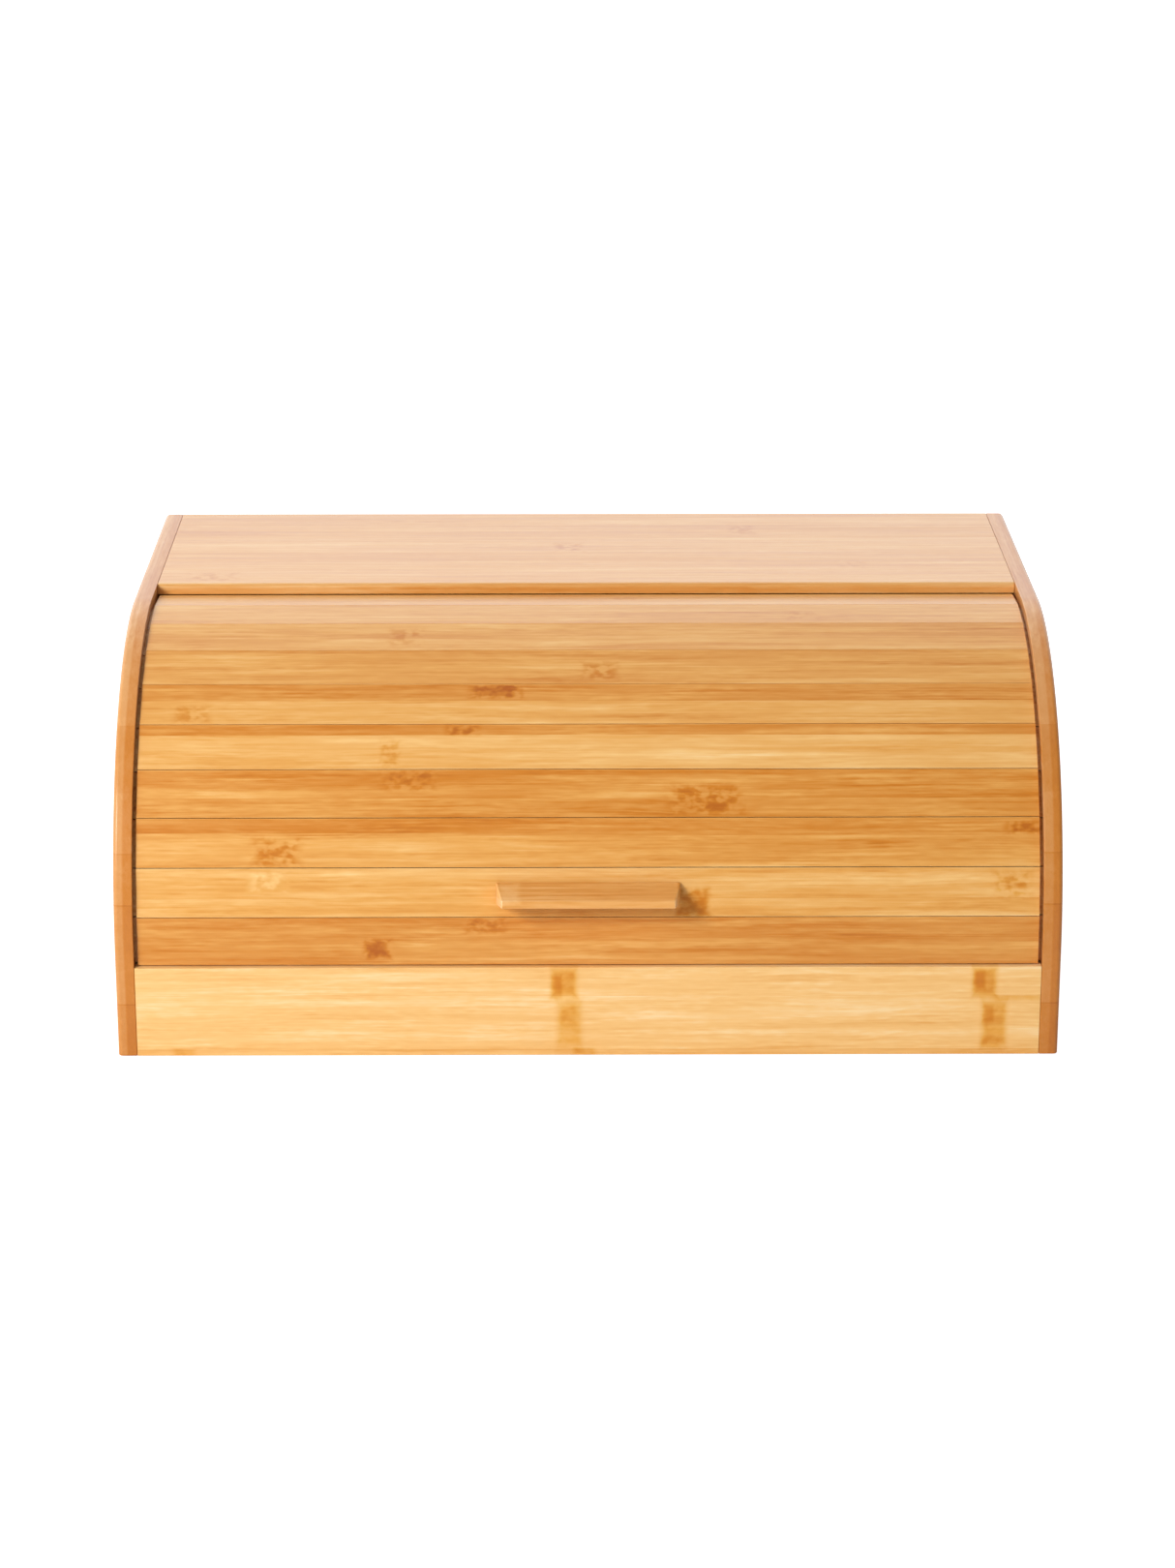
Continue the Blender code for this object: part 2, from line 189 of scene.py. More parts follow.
def ease(shape, width, segments=3, chosen=lambda edge: True):
    """Round the sharp edges of a shape, or only the ones that are chosen."""
    edges = [edge for edge in shape.edges if edge.calc_face_angle(0.0) > SHARP and chosen(edge)]
    bmesh.ops.bevel(shape, geom=edges, offset=width, offset_type="OFFSET", segments=segments,
                    profile=0.5, affect="EDGES", clamp_overlap=True)
    return shape


def mesh_of(name, shape):
    mesh = bpy.data.meshes.new(name)
    shape.to_mesh(mesh)
    shape.free()
    return mesh


def carve(mesh, cutters):
    """The mesh with these closed shapes cut out of it."""
    block_object = bpy.data.objects.new("carved", mesh)
    bpy.context.scene.collection.objects.link(block_object)
    tools = []
    for cutter in cutters:
        tool = bpy.data.objects.new("cutter", mesh_of("cutter", cutter))
        bpy.context.scene.collection.objects.link(tool)
        boolean = block_object.modifiers.new("cut", "BOOLEAN")
        boolean.solver = "EXACT"
        boolean.object = tool
        tools.append(tool)
    evaluated = block_object.evaluated_get(bpy.context.evaluated_depsgraph_get())
    made = bpy.data.meshes.new_from_object(evaluated)
    for used in [block_object, *tools]:
        bpy.data.objects.remove(used)
    return made


def piece(name, mesh, material, body, nodes=(), at=(0.0, 0.0, 0.0), turn=0.0):
    """A finished piece in its place, turned about X, that rides on a body and stands for CAD nodes."""
    mesh.shade_smooth()
    mesh.set_sharp_from_angle(angle=SHARP)
    mesh.materials.clear()
    mesh.materials.append(material)
    made = bpy.data.objects.new(name, mesh)
    made.location = at
    made.rotation_euler.x = turn
    bpy.context.scene.collection.objects.link(made)
    normals = made.modifiers.new("weighted_normals", "WEIGHTED_NORMAL")
    normals.keep_sharp = True
    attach(made, body)
    if nodes:
        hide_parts(*nodes)
    return made


def polar(radius, angle):
    """Y and Z of a point around the roll axis."""
    return (-radius * math.cos(angle), radius * math.sin(angle))


def arc(radius, start, end, step=math.radians(1.5)):
    count = max(2, math.ceil(abs(end - start) / step))
    return [polar(radius, start + (end - start) * i / count) for i in range(count + 1)]


def from_axis(outline):
    """An outline around the roll axis, in the frame's Y and Z."""
    return [(AXIS.y + y, AXIS.z + z) for y, z in outline]


# Materials

def add(tree, kind, inputs=None, **settings):
    """A node with its settings, and numbers or other nodes' outputs in its inputs."""
    node = tree.nodes.new("ShaderNode" + kind)
    for key, value in settings.items():
        setattr(node, key, value)
    for key, value in (inputs or {}).items():
        if isinstance(value, bpy.types.NodeSocket):
            tree.links.new(value, node.inputs[key])
        else:
            node.inputs[key].default_value = value
    return node


def maths(tree, operation, *values):
    return add(tree, "Math", dict(enumerate(values)), operation=operation).outputs[0]


def vectors(tree, operation, *values):
    return add(tree, "VectorMath", dict(enumerate(values)), operation=operation).outputs[0]


def noise(tree, vector, detail, scale=1.0, output="Fac"):
    """Smooth noise from 0 to 1, or three of them as a colour."""
    return add(tree, "TexNoise", {"Vector": vector, "Scale": scale, "Detail": detail}).outputs[output]


def spread(tree, value, low, high, to_low, to_high, smooth=False):
    """The value mapped from one range to another, and clamped to it."""
    kind = "SMOOTHSTEP" if smooth else "LINEAR"
    inputs = {"Value": value, "From Min": low, "From Max": high, "To Min": to_low, "To Max": to_high}
    return add(tree, "MapRange", inputs, interpolation_type=kind).outputs["Result"]


def ramp(tree, value, stops, interpolation="LINEAR"):
    """A colour ramp through stops of position and colour."""
    node = add(tree, "ValToRGB", {"Fac": value})
    node.color_ramp.interpolation = interpolation
    elements = node.color_ramp.elements
    while len(elements) < len(stops):
        elements.new(1.0)
    for element, (position, colour) in zip(elements, sorted(stops)):
        element.position = position
        element.color = colour
    return node


def bumpy(tree, shader, height, strength, depth):
    """Bumps of this depth in metres on a shader."""
    bump = add(tree, "Bump", {"Strength": strength, "Distance": depth, "Height": height})
    tree.links.new(bump.outputs[0], shader.inputs["Normal"])


def new_material(name, **constants):
    """A material, its node tree and its shader, with the shader's constant inputs set."""
    material = bpy.data.materials.new(name)
    material.use_nodes = True
    shader = material.node_tree.nodes["Principled BSDF"]
    for key, value in constants.items():
        shader.inputs[key.replace("_", " ")].default_value = value
    return material, material.node_tree, shader


# Bamboo from its darkest fibre to its palest
BAMBOO_TONES = [
    (0.00, (0.280, 0.055, 0.003, 1.0)),
    (0.25, (0.430, 0.105, 0.004, 1.0)),
    (0.45, (0.620, 0.212, 0.018, 1.0)),
    (0.65, (0.780, 0.382, 0.090, 1.0)),
    (0.85, (0.885, 0.535, 0.195, 1.0)),
    (1.00, (0.930, 0.660, 0.330, 1.0)),
]
# The glue line between two strips: its width in millimetres, and how much darker it is
GLUE_LINE = 0.16
GLUE_DARKER = 0.05
# How wide the band along a board's two long edges is that is darker, or paler where it is painted light
# that lifts the shade in the joints, in millimetres
RIM_WIDTH = 0.4
# The slow bends of the grain: their length and width, and how far they move it, in millimetres
BENDS = (90.0, 25.0)
BEND_REACH = 0.9
# The patches with more or less grain: their length and width in millimetres, and how much paler or darker
PATCHES = (45.0, 6.0)
PATCH_TONE = 0.025
# The part of the grain that is left where a board is sawn across, and where a knuckle is
SAWN_GRAIN = 0.2
KNUCKLE_GRAIN = 0.4
# Each strip's own offset from 0 to 1: the first one's and the step to the next. A whole offset moves the
# grain by this much
FIRST_OFFSET = 0.11
NEXT_OFFSET = 0.37
STRIP_SHIFT = 37.0
# How far out a knuckle has faded, as a share of its size, and how much darker it gets with its strength
KNUCKLE_FADED = 1.2
STRONG_DARKER = 0.10
# Waves of a knuckle's outline, and flecks inside it, to the millimetre
WAVES_PER_MM = 0.28
FLECKS_PER_MM = (0.24, 0.36, 0.36)
FIBRES = [
    # length and width in millimetres, and how much it lightens or darkens
    (160.0, 6.5, 0.046),
    (90.0, 2.6, 0.043),
    (60.0, 1.2, 0.028),
    (20.0, 0.55, 0.022),
    (8.5, 1.3, 0.024),
]


def strip_tones(tree, across, half, strips):
    """The tone of each strip across a board, with a thin darker line where two are glued.

    strips lists where each strip starts, in millimetres from the middle, and its tone.
    """
    stops = []
    for number, (start, tone) in enumerate(strips):
        offset = (number * NEXT_OFFSET + FIRST_OFFSET) % 1.0
        position = max(0.0, (start + half) / (2 * half))
        stops.append((position, (tone, tone, tone, offset)))
        if number:
            before = strips[number - 1][1] - GLUE_DARKER
            line = position - GLUE_LINE / (2 * half)
            stops.append((line, (before, before, before, offset)))
    share = spread(tree, across, -half, half, 0.0, 1.0)
    node = ramp(tree, share, stops, "CONSTANT")
    return node.outputs["Color"], node.outputs["Alpha"]


def knuckle_mask(tree, place, mark, core):
    """Where a knuckle is: 0 outside it, and 1 in a core that is this share of its size."""
    along, across, half_length, half_width, _ = mark
    moved = vectors(tree, "SUBTRACT", place, (along, 0.0, across))
    shrunk = vectors(tree, "MULTIPLY", moved, (1 / half_length, 0.0, 1 / half_width))
    parts = add(tree, "SeparateXYZ", {0: vectors(tree, "ABSOLUTE", shrunk)}).outputs
    out = maths(tree, "MAXIMUM", parts["X"], parts["Z"])
    return spread(tree, out, KNUCKLE_FADED, core, 0.0, 1.0, smooth=True)


def board_place(tree, centre, axes):
    """Millimetres from a board's centre, as a vector and as its parts, and where it is sawn across.

    axes names the object's axes along the grain, through the board and across it.
    """
    coordinate = add(tree, "TexCoord").outputs
    moved = vectors(tree, "SUBTRACT", coordinate["Object"], tuple(centre))
    in_mm = vectors(tree, "MULTIPLY", moved, (1 / MM,) * 3)
    raw = add(tree, "SeparateXYZ", {0: in_mm}).outputs
    parts = {"X": raw[axes[0]], "Y": raw[axes[1]], "Z": raw[axes[2]]}
    place = add(tree, "CombineXYZ", parts).outputs[0]
    facing = add(tree, "SeparateXYZ", {0: coordinate["Normal"]}).outputs[axes[0]]
    sawn = spread(tree, maths(tree, "ABSOLUTE", facing), 0.05, 0.6, 0.0, 1.0)
    return place, parts, sawn


def by_size(tree, vector, length, width):
    """Millimetres as shares of a length along the grain, and of a width through and across it."""
    return vectors(tree, "MULTIPLY", vector, (1 / length, 1 / width, 1 / width))


def knuckle_field(tree, place, marks, wobble, core):
    """How strong the knuckles are at each point, and the wavering that makes their outlines rough."""
    waver = noise(tree, place, 2.0, WAVES_PER_MM, "Color")
    waver = vectors(tree, "MULTIPLY", vectors(tree, "SUBTRACT", waver, (0.5,) * 3), (2 * wobble,) * 3)
    shaken = vectors(tree, "ADD", place, waver)
    knuckles = 0.0
    for mark in marks:
        knuckles = maths(tree, "MULTIPLY_ADD", knuckle_mask(tree, shaken, mark, core), mark[4], knuckles)
    return knuckles, waver


def bent_grain(tree, place, waver, strength, stretch):
    """The place, bent slowly across the grain, and swirling inside the knuckles."""
    length, width = BENDS
    drift = noise(tree, by_size(tree, place, length * stretch, width), 1.0)
    drift = spread(tree, drift, 0.2, 0.8, -BEND_REACH, BEND_REACH)
    drift = add(tree, "CombineXYZ", {"Z": drift}).outputs[0]
    swirl = add(tree, "VectorMath", {0: waver, "Scale": strength}, operation="SCALE").outputs[0]
    return vectors(tree, "ADD", vectors(tree, "ADD", place, drift), swirl)


def fibre_layers(tree, bent, shift, stretch):
    """One layer of light and dark fibres of each size."""
    layers = []
    for length, width, _ in FIBRES:
        vector = vectors(tree, "ADD", by_size(tree, bent, length * stretch, width), shift)
        layers.append(spread(tree, noise(tree, vector, 1.0), 0.25, 0.75, -1.6, 1.6))
    return layers


def grain_tone(tree, layers, patches, sawn, strength):
    """All fibres together: stronger in some patches, weaker where sawn across and in knuckles."""
    grain = 0.0
    for layer, (_, _, amount) in zip(layers, FIBRES):
        grain = maths(tree, "MULTIPLY_ADD", layer, amount, grain)
    grain = maths(tree, "MULTIPLY", grain, spread(tree, patches, 0.3, 0.7, 0.45, 1.5))
    grain = maths(tree, "MULTIPLY_ADD", spread(tree, patches, 0.3, 0.7, -1.0, 1.0), PATCH_TONE, grain)
    grain = maths(tree, "MULTIPLY", grain, spread(tree, sawn, 0.0, 1.0, 1.0, SAWN_GRAIN))
    return maths(tree, "MULTIPLY", grain, spread(tree, strength, 0.0, 1.0, 1.0, KNUCKLE_GRAIN))


def knuckle_flecks(tree, place, knuckles, strength, band, uneven):
    """How much darker the knuckles are at each point. The strongest ones are the most even."""
    speckle = noise(tree, vectors(tree, "MULTIPLY", place, FLECKS_PER_MM), 1.5)
    fleck = spread(tree, speckle, 0.35, 0.65, -uneven, uneven, smooth=True)
    fleck = maths(tree, "MULTIPLY_ADD", fleck, spread(tree, strength, 0.8, 1.2, 1.0, 0.35), band)
    fleck = maths(tree, "MULTIPLY_ADD", strength, STRONG_DARKER, fleck)
    return maths(tree, "MULTIPLY", fleck, knuckles)


def bamboo_colour(tree, value, fleck, tint):
    """The colour of a tone, tinted, and more orange where a knuckle is dark."""
    tinted = vectors(tree, "MULTIPLY", ramp(tree, value, BAMBOO_TONES).outputs["Color"], tint)
    less_green = spread(tree, fleck, 0.12, 0.4, 1.0, 0.92)
    less_blue = spread(tree, fleck, 0.05, 0.36, 1.0, 0.42)
    burnt = add(tree, "CombineXYZ", {"X": 1.0, "Y": less_green, "Z": less_blue}).outputs[0]
    return vectors(tree, "MULTIPLY", tinted, burnt)


def lacquered(tree, shader, layers, fleck, gloss):
    """The roughness and the bumps of lacquered bamboo, from its finer fibres and its knuckles."""
    rough = maths(tree, "MULTIPLY_ADD", layers[1], 0.03, gloss)
    rough = maths(tree, "MULTIPLY_ADD", layers[3], 0.02, rough)
    tree.links.new(rough, shader.inputs["Roughness"])
    height = maths(tree, "MULTIPLY_ADD", layers[3], 0.4, layers[2])
    bumpy(tree, shader, maths(tree, "SUBTRACT", height, fleck), 0.3, 0.00004)


def bamboo(name, centre, half, strips, marks, axes="XYZ", tint=(1.0, 1.0, 1.0), gloss=0.42, wobble=0.7,
           end_grain_and_painted_end_light=0.22, rim_and_painted_joint_light=0.10, band=0.07, uneven=0.13, core=0.4, stretch=1.0, painted_light_halves=None):
    """Laminated bamboo. half is half the board's width, and axes is as board_place has it.

    Each mark is a knuckle: its place along and across from the centre, its half length, its half
    width, and how dark it is; below zero it is pale. wobble is how rough the knuckles' outlines are,
    band how dark they are, uneven how much that varies, and core how far they reach undimmed.
    end_grain_and_painted_end_light darkens what is sawn across; below zero it makes it paler, which is
    painted light. rim darkens the board's long edges; below zero it makes them paler, painted light that
    lifts the shade in the joints.
    stretch makes the fibres longer, and plies lightens or darkens each of the board's two halves through
    its
    thickness: painted light on the half that faces the lamp, painted shade on the half that faces away.
    """
    material, tree, shader = new_material(name, IOR=1.33, Coat_Weight=0.7, Coat_IOR=1.33,
                                          Coat_Roughness=0.22)
    place, parts, sawn = board_place(tree, centre, axes)
    tone, offset = strip_tones(tree, parts["Z"], half, strips)
    shift = add(tree, "CombineXYZ", {"X": maths(tree, "MULTIPLY", offset, STRIP_SHIFT)}).outputs[0]
    knuckles, waver = knuckle_field(tree, place, marks, wobble, core)
    strength = maths(tree, "ABSOLUTE", knuckles)
    layers = fibre_layers(tree, bent_grain(tree, place, waver, strength, stretch), shift, stretch)
    patches = noise(tree, vectors(tree, "ADD", by_size(tree, place, *PATCHES), shift), 2.0)
    fleck = knuckle_flecks(tree, place, knuckles, strength, band, uneven)
    value = maths(tree, "ADD", tone, grain_tone(tree, layers, patches, sawn, strength))
    value = maths(tree, "SUBTRACT", value, fleck)
    # The board's long edges are darker; below zero they are paler instead, painted light that lifts the
    # shade in the joints
    across = maths(tree, "ABSOLUTE", parts["Z"])
    value = maths(tree, "SUBTRACT", value, spread(tree, across, half - RIM_WIDTH, half, 0.0, rim_and_painted_joint_light, True))
    # Sawn faces are darker; below zero they are paler, painted light on a piece's ends
    value = maths(tree, "MULTIPLY_ADD", sawn, -end_grain_and_painted_end_light, value)
    # Painted light and painted shade: the two halves through the board's thickness are made lighter or
    # darker by how they face the lamp
    if painted_light_halves:
        value = maths(tree, "ADD", value, spread(tree, parts["Y"], -0.6, 0.6, *painted_light_halves, smooth=True))
    tree.links.new(bamboo_colour(tree, value, fleck, tint), shader.inputs["Base Color"])
    lacquered(tree, shader, layers, fleck, gloss)
    return material


def woven_canvas():
    """Plain-woven cotton: crossing threads from the sheet's own coordinates, in metres."""
    material, tree, shader = new_material("cotton_canvas", Roughness=0.95, Sheen_Weight=0.25,
                                          Sheen_Roughness=0.6)
    thread = 0.0011
    flat = add(tree, "UVMap", uv_map="Cloth").outputs[0]
    fuzz = noise(tree, flat, 2.0, 900.0, "Color")
    fuzz = vectors(tree, "MULTIPLY", vectors(tree, "SUBTRACT", fuzz, (0.5,) * 3), (0.00035,) * 3)
    parts = add(tree, "SeparateXYZ", {0: vectors(tree, "ADD", flat, fuzz)}).outputs
    warp = maths(tree, "SINE", maths(tree, "MULTIPLY", parts["X"], math.tau / thread))
    weft = maths(tree, "SINE", maths(tree, "MULTIPLY", parts["Y"], math.tau / thread))
    height = maths(tree, "MULTIPLY", warp, weft)
    slubs = noise(tree, vectors(tree, "MULTIPLY", flat, (60.0, 1200.0, 1.0)), 2.0)
    stains = noise(tree, flat, 3.0, 22.0)
    value = spread(tree, height, -1.0, 1.0, 0.35, 0.62)
    value = maths(tree, "MULTIPLY_ADD", spread(tree, slubs, 0.3, 0.7, -1.0, 1.0), 0.13, value)
    value = maths(tree, "MULTIPLY_ADD", spread(tree, stains, 0.3, 0.7, -1.0, 1.0), 0.08, value)
    colour = ramp(tree, value, [(0.0, (0.23, 0.18, 0.12, 1.0)), (0.5, (0.56, 0.48, 0.36, 1.0)),
                                (1.0, (0.80, 0.74, 0.62, 1.0))]).outputs["Color"]
    tree.links.new(colour, shader.inputs["Base Color"])
    bumpy(tree, shader, height, 0.6, 0.00018)
    return material


def zinc_steel():
    """Zinc-plated steel with turning marks and a few dull patches."""
    material, tree, shader = new_material("zinc_steel", Metallic=1.0, Specular_IOR_Level=0.5)
    local = add(tree, "TexCoord").outputs["Object"]
    patches = noise(tree, local, 3.0, 900.0)
    rings = add(tree, "TexWave", {"Vector": local, "Scale": 2600.0, "Distortion": 1.5},
                wave_type="RINGS", rings_direction="Z").outputs["Fac"]
    colour = ramp(tree, patches, [(0.3, (0.42, 0.41, 0.38, 1.0)), (0.55, (0.62, 0.61, 0.58, 1.0)),
                                  (0.8, (0.72, 0.69, 0.60, 1.0))]).outputs["Color"]
    tree.links.new(colour, shader.inputs["Base Color"])
    tree.links.new(spread(tree, patches, 0.3, 0.7, 0.22, 0.42), shader.inputs["Roughness"])
    bumpy(tree, shader, rings, 0.3, 0.00002)
    return material


def raw_beech():
    """Unfinished beech with short dark flecks along the dowel."""
    material, tree, shader = new_material("raw_beech", IOR=1.45)
    local = add(tree, "TexCoord").outputs["Object"]
    grain = noise(tree, vectors(tree, "MULTIPLY", local, (120.0, 2400.0, 2400.0)), 3.0)
    colour = ramp(tree, grain, [(0.32, (0.42, 0.24, 0.12, 1.0)), (0.45, (0.62, 0.42, 0.25, 1.0)),
                                (0.70, (0.74, 0.55, 0.36, 1.0))]).outputs["Color"]
    tree.links.new(colour, shader.inputs["Base Color"])
    tree.links.new(spread(tree, grain, 0.3, 0.7, 0.75, 0.6), shader.inputs["Roughness"])
    bumpy(tree, shader, grain, 0.4, 0.00005)
    return material


# Cabinet

def dowel_nodes():
    return [name for name in sorted(frame["nodes"]) if name.startswith("dowel_")]


def dowel_holes(low, high):
    """Holes for the dowels that reach into the box between two corners."""
    holes = []
    for name in dowel_nodes():
        start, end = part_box(name)
        if all(end[i] > low[i] and start[i] < high[i] for i in range(3)):
            middle = (start + end) / 2
            radius = (end.z - start.z) / 2 + HOLE_CLEARANCE
            holes.append(rod(radius, start.x - HOLE_CLEARANCE, end.x + HOLE_CLEARANCE, HOLE_SIDES,
                             (middle.y, middle.z)))
    return holes


def groove_outline():
    """The path that the tongues sweep, from the closed door's foot to the open door's tail."""
    inner = TONGUE_BACK - GROOVE_CLEARANCE
    outer = math.hypot(TONGUE_FACE, TONGUE_HALF_WIDTH) + GROOVE_CLEARANCE
    tongue_half_angle = math.atan(TONGUE_HALF_WIDTH / TONGUE_BACK)
    start = DOOR_START + PITCH / 2 - tongue_half_angle - GROOVE_END_CLEARANCE
    end = DOOR_START + (SLATS - 0.5) * PITCH + tongue_half_angle + TRAVEL + GROOVE_END_CLEARANCE
    return from_axis(arc(outer, start, end) + arc(inner, end, start))


def side_panel(side, sign, painted_light_halves):
    """A board with a quarter-round front corner and a rounded outer edge, grooved on its inner face.

    sign is 1 where the outer face is towards +X.
    """
    node = "side_panel_" + side
    low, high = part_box(node)
    outer_x, inner_x = (high.x, low.x) if sign > 0 else (low.x, high.x)

    def on_outer_rim(edge):
        outside = all(abs(vert.co.x - outer_x) < TOUCH for vert in edge.verts)
        return outside and any(vert.co.z > low.z + TOUCH for vert in edge.verts)

    bend = from_axis(arc(BEND_RADIUS, math.pi / 2, 0.0))
    outline = [(high.y, low.z), (high.y, high.z), *bend, (low.y, low.z)]
    shape = ease(extruded(outline, low.x, high.x), SIDE_ROUND, 8, on_outer_rim)
    ease(shape, SIDE_EASE)
    cutters = [extruded(groove_outline(), inner_x - GROOVE_DEPTH, inner_x + GROOVE_DEPTH),
               *dowel_holes(low, high)]
    strips = [(-84.0, 0.52), (-61.0, 0.56), (-38.5, 0.54), (-17.0, 0.58), (4.0, 0.60), (27.5, 0.57),
              (51.0, 0.63), (70.0, 0.63)]
    marks = [(-70.0 * sign, -50.0, 5.5, 11.0, 0.6), (35.0 * sign, -28.0, 5.0, 10.5, 0.7),
             (95.0 * sign, 15.0, 5.5, 11.0, 0.6), (-20.0 * sign, 39.0, 5.0, 11.0, 0.7),
             (60.0 * sign, 61.0, 5.5, 9.0, 0.6)]
    # The panel's two halves through its thickness get painted light and painted shade
    wood = bamboo("bamboo_" + node, (low + high) / 2, 84.0, strips, marks, axes="YXZ",
                  tint=(0.96, 0.98, 1.5), end_grain_and_painted_end_light=0.06, painted_light_halves=painted_light_halves)
    piece(node + "_wood", carve(mesh_of(node, shape), cutters), wood, "cabinet", [node])


def board(node, material, shape=None, chosen=lambda edge: True):
    """A fixed board with its dowel holes, and with its sharp edges or the chosen ones eased."""
    low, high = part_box(node)
    eased = ease(shape or block(low, high), BOARD_EASE, chosen=chosen)
    mesh = carve(mesh_of(node, eased), dowel_holes(low, high))
    piece(node + "_wood", mesh, material, "cabinet", [node])


def top_panel():
    """The board behind the door's upper edge, hollowed below so that the door passes."""
    low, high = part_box("top_panel")
    middle = (low + high) / 2
    at_front = math.acos((AXIS.y - low.y) / COVE_RADIUS)
    at_bottom = math.pi - math.asin((low.z - AXIS.z) / COVE_RADIUS)
    cove = from_axis(arc(COVE_RADIUS, at_front, at_bottom))
    centre = (low.y + TOP_FRONT_ROUND, high.z - TOP_FRONT_ROUND)
    rounded = arc(TOP_FRONT_ROUND, math.pi / 2, 0.0, math.radians(11))
    rounded = [(centre[0] + y, centre[1] + z) for y, z in rounded]
    outline = [(high.y, low.z), (high.y, high.z), *rounded, *cove]

    def away_from_door(edge):
        return any(vert.co.y > low.y + TOUCH or vert.co.z > centre[1] - TOUCH for vert in edge.verts)

    # The strip from -62.1 to -60.2 mm is the rounded front edge, painted paler than its neighbours: a
    # painted highlight
    strips = [(-62.6, 0.69), (-62.1, 0.75), (-60.2, 0.67), (-33.8, 0.63), (-8.0, 0.68), (17.0, 0.62),
              (41.0, 0.65)]
    marks = [(-8.0, 0.6, 8.0, 9.0, 0.75), (74.0, 32.0, 7.0, 9.0, 0.65), (-168.0, -50.0, 12.0, 8.0, 0.6),
             (120.0, -30.0, 9.0, 8.0, 0.4)]
    wood = bamboo("bamboo_top_panel", middle, 62.6, strips, marks, axes="XZY", tint=(0.98, 0.95, 1.0),
                  rim_and_painted_joint_light=0.0)
    board("top_panel", wood, extruded(outline, low.x - SNUG, high.x + SNUG), away_from_door)


def front_rail():
    """The pale board under the door, with two rows of broad knuckles that are darker in places."""
    low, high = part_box("front_rail")
    half = (high.z - low.z) / 2 / MM
    strips = [(-half, 0.74), (-17.4, 0.85), (7.2, 0.85)]
    marks = [(-10.3, 13.0, 6.2, 7.5, 0.88), (-8.0, -6.0, 6.2, 12.5, 0.60), (168.0, 13.0, 5.8, 7.5, 0.90),
             (172.4, -6.0, 6.0, 12.0, 0.78), (-1.5, -18.5, 5.5, 2.2, 0.45), (-172.0, -18.5, 5.5, 2.2, 0.45),
             (-13.5, 11.0, 2.6, 6.0, 0.25), (-8.5, -1.0, 3.5, 5.5, 0.2), (165.5, 14.0, 3.0, 5.0, 0.3),
             (169.8, -1.5, 2.8, 4.5, 0.3), (171.0, -15.0, 5.0, 3.0, 0.25), (184.0, 5.8, 12.0, 1.5, 0.45)]
    sideways = Vector((SNUG, 0.0, 0.0))
    # The rail's long edges are painted paler: painted light that lifts the shade in its joints
    wood = bamboo("bamboo_front_rail", (low + high) / 2, half, strips, marks, wobble=0.3,
                  tint=(1.05, 1.07, 1.12), rim_and_painted_joint_light=-0.05, band=0.22, uneven=0.04, core=0.5, stretch=0.8)
    board("front_rail", wood, block(low - sideways, high + sideways))


def inner_boards():
    """Back and bottom: the same bamboo in a thinner, duller lacquer."""
    low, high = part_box("back_panel")
    strips = [(-80.0, 0.62), (-57.0, 0.70), (-33.0, 0.60), (-8.0, 0.66), (14.0, 0.72), (38.0, 0.61),
              (60.0, 0.67)]
    marks = [(-110.0, -45.0, 6.0, 11.0, 0.6), (62.0, -20.0, 5.0, 11.0, 0.6), (-35.0, 26.0, 6.0, 11.0, 0.55),
             (140.0, 48.0, 5.5, 11.0, 0.6), (20.0, 70.0, 6.0, 9.0, 0.5), (-160.0, 3.0, 6.0, 10.0, 0.5)]
    wood = bamboo("bamboo_back_panel", (low + high) / 2, 80.0, strips, marks, gloss=0.55, wobble=0.8)
    board("back_panel", wood)
    low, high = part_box("bottom_panel")
    half = (high.y - low.y) / 2 / MM
    strips = [(-half, 0.66), (-96.0, 0.60), (-70.0, 0.70), (-45.0, 0.63), (-20.0, 0.68), (6.0, 0.60),
              (31.0, 0.71), (57.0, 0.64), (83.0, 0.67), (108.0, 0.60)]
    marks = [(-140.0, -58.0, 6.0, 12.0, 0.6), (30.0, -32.0, 5.5, 12.0, 0.6), (120.0, 18.0, 5.5, 12.0, 0.55),
             (-60.0, 44.0, 6.0, 12.0, 0.6), (80.0, 95.0, 5.5, 12.0, 0.5)]
    wood = bamboo("bamboo_bottom_panel", (low + high) / 2, half, strips, marks, axes="XZY", gloss=0.55,
                  wobble=0.8)
    board("bottom_panel", wood)


def dowels(material):
    """Fluted beech dowels with chamfered ends."""
    for node in dowel_nodes():
        low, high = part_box(node)
        half = (high.x - low.x) / 2
        shape = ease(rod((high.z - low.z) / 2, -half, half, DOWEL_FLUTES * 4), DOWEL_CHAMFER, 2)
        for vert in shape.verts:
            angle = math.atan2(vert.co.z, vert.co.y)
            press = 1 - FLUTE_DEPTH * (1 - math.cos(DOWEL_FLUTES * angle)) / 2
            vert.co.y *= press
            vert.co.z *= press
        piece(node + "_beech", mesh_of(node, shape), material, "cabinet", [node],
              (low + high) / 2)


# Door

# How far the grain is moved from one slat to the next, so that no two look alike
SLAT_GRAIN_STEP = Vector((0.0173, -0.01, 0.0))

